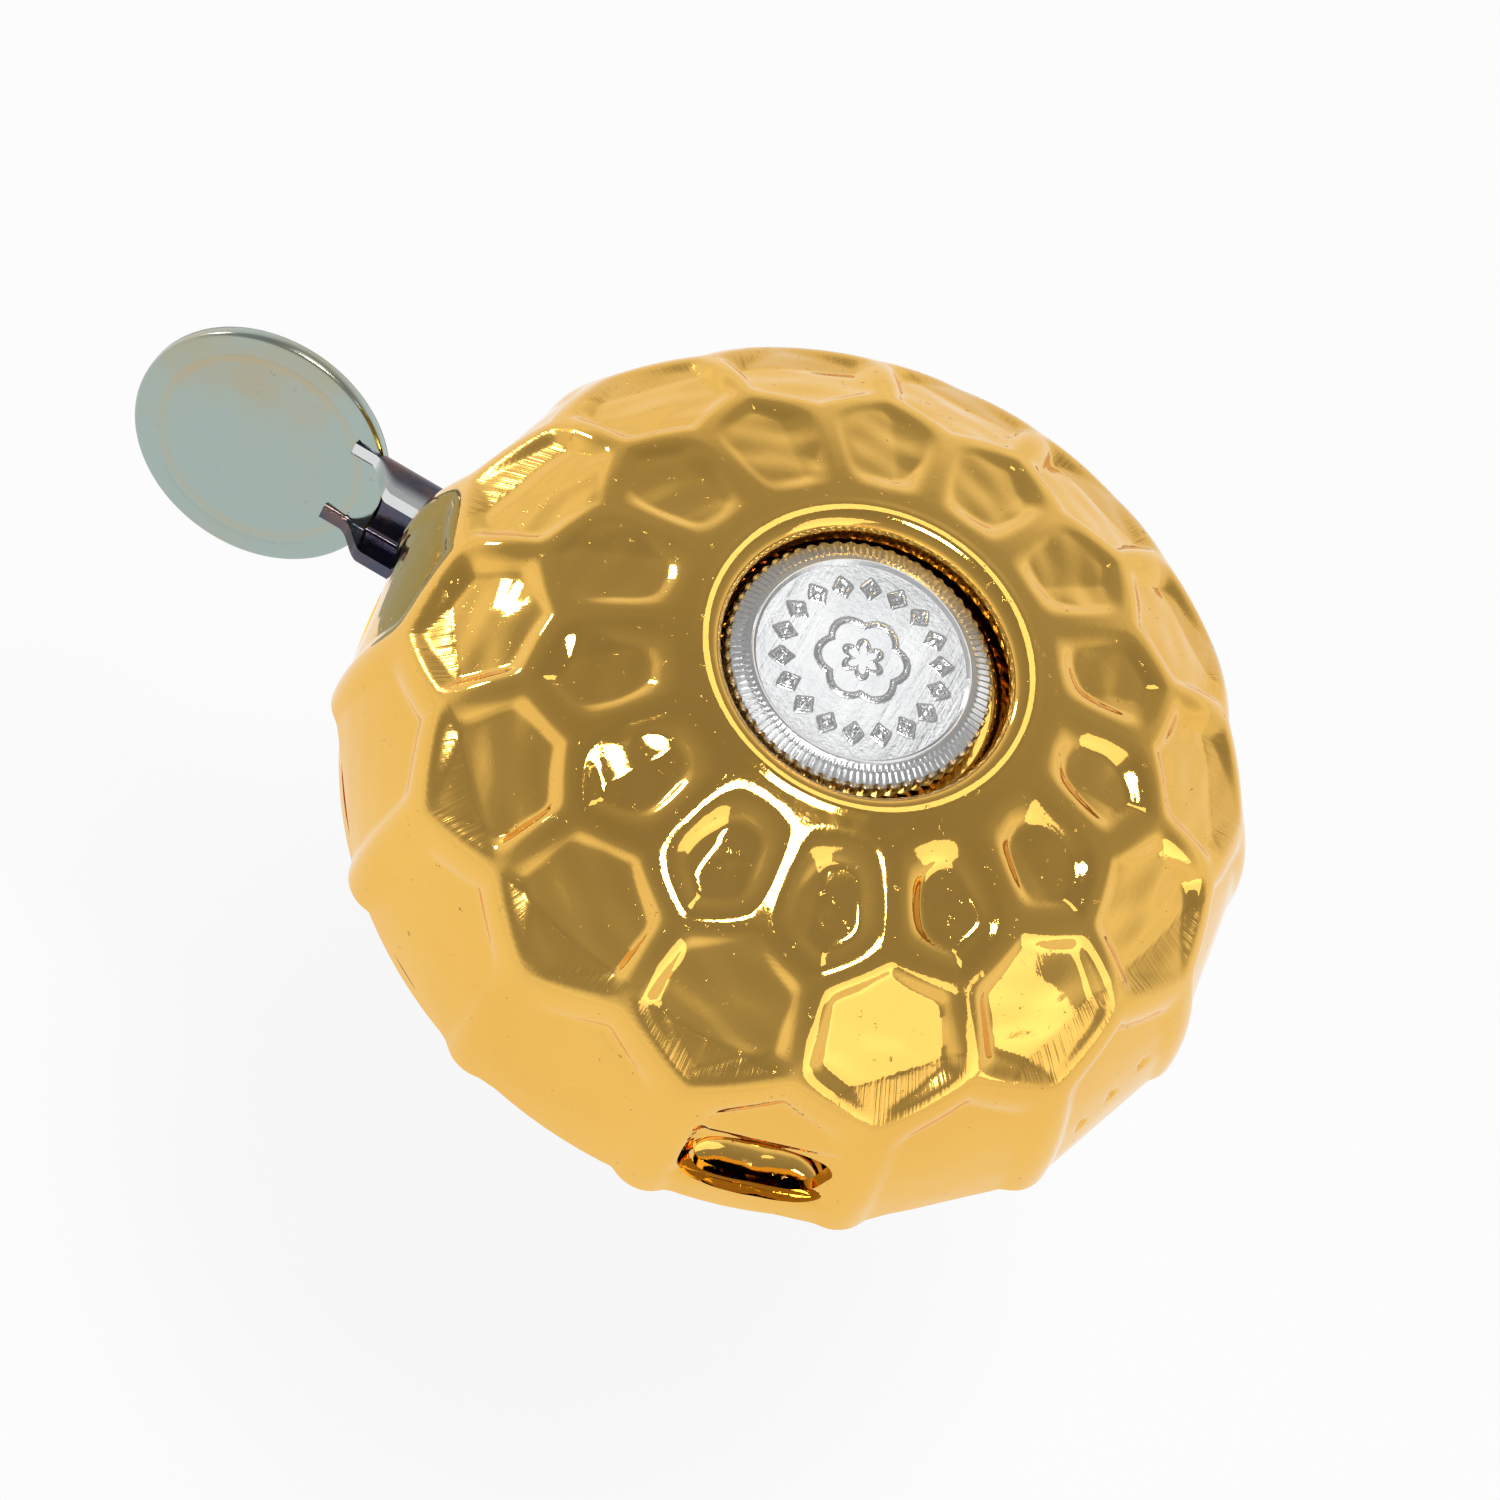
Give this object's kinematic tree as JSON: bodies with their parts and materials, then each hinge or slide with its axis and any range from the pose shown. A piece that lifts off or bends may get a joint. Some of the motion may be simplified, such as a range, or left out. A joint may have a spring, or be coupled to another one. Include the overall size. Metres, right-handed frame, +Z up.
{
  "type": "bicycle bell",
  "caption": "Rotary lever bell: hammered gold gong with a slotted side on a shallow cup, chromed thumb lever with a dished pad, geared striker inside, handlebar clamp.",
  "frame": {"origin": "centre of the handlebar clamp's bore", "axes": "+Y along the handlebar and the way the lever is pushed, -X to the thumb lever, +Z up the spindle"},
  "size_m": [0.0795, 0.0594, 0.0631],
  "materials": {
    "gold_plate": "bright gold plate over hammered metal",
    "chrome": "bright, a little worn",
    "nut_aluminium": "brushed face, turned bevel",
    "zinc_steel": "zinc plated",
    "dark_steel": "plain pressed steel",
    "spring_steel": "drawn wire",
    "brass_gear": "cut brass",
    "red_fibre": "vulcanised fibre",
    "rubber": "moulded"
  },
  "bodies": {
    "mount": {"gong_dome": "gold_plate", "cap_nut": "nut_aluminium", "lock_washer": "zinc_steel", "fibre_washer": "red_fibre", "spindle": "zinc_steel", "spindle_nut": "zinc_steel", "base_shell": "gold_plate", "lever_pivot_pin": "zinc_steel", "lever_pivot_clip": "spring_steel", "return_spring": "spring_steel", "spring_post": "zinc_steel", "stop_pin": "zinc_steel", "idler_pin": "zinc_steel", "idler_clip": "spring_steel", "rotor_clip": "spring_steel", "clamp_saddle": "zinc_steel", "clamp_strap": "zinc_steel", "clamp_pad_upper": "rubber", "clamp_pad_lower": "rubber", "clamp_screws": "zinc_steel", "clamp_nuts": "zinc_steel", "clamp_lock_washers": "spring_steel"},
    "lever": {"lever_arm": "chrome", "thumb_disc": "chrome"},
    "idler": {"idler_pinion": "brass_gear", "idler_gear": "brass_gear"},
    "rotor": {"rotor_pinion": "brass_gear", "rotor_bar": "dark_steel", "striker_rivet_a": "zinc_steel", "striker_rivet_b": "zinc_steel"},
    "striker_a": {"striker_washer_a": "dark_steel"},
    "striker_b": {"striker_washer_b": "dark_steel"}
  },
  "joints": [
    {"name": "lever_press", "type": "hinge", "parent": "mount", "child": "lever", "pos_m": [-0.0167, 0.004, 0.022], "axis": [0, 0, -1], "range_deg": [0, 36], "stiffness_Nm_per_rad": 0.06, "springref_deg": -20.05, "deforming": ["return_spring"]},
    {"name": "idler_spin", "type": "hinge", "parent": "mount", "child": "idler", "pos_m": [-0.0081, -0.00919, 0.022], "axis": [0, 0, -1], "range_deg": [-220, 4]},
    {"name": "rotor_spin", "type": "hinge", "parent": "mount", "child": "rotor", "pos_m": [0, 0, 0.022], "axis": [0, 0, -1], "range_deg": [-4, 545]},
    {"name": "striker_a_slide", "type": "slide", "parent": "rotor", "child": "striker_a", "axis": [0, 1, 0], "range_m": [-0.0006, 0.0006]},
    {"name": "striker_b_slide", "type": "slide", "parent": "rotor", "child": "striker_b", "axis": [0, -1, 0], "range_m": [-0.0006, 0.0006]}
  ],
  "couplings": [
    {"joint": "idler_spin", "follows": "lever_press", "ratio": -6},
    {"joint": "rotor_spin", "follows": "lever_press", "ratio": 15}
  ]
}
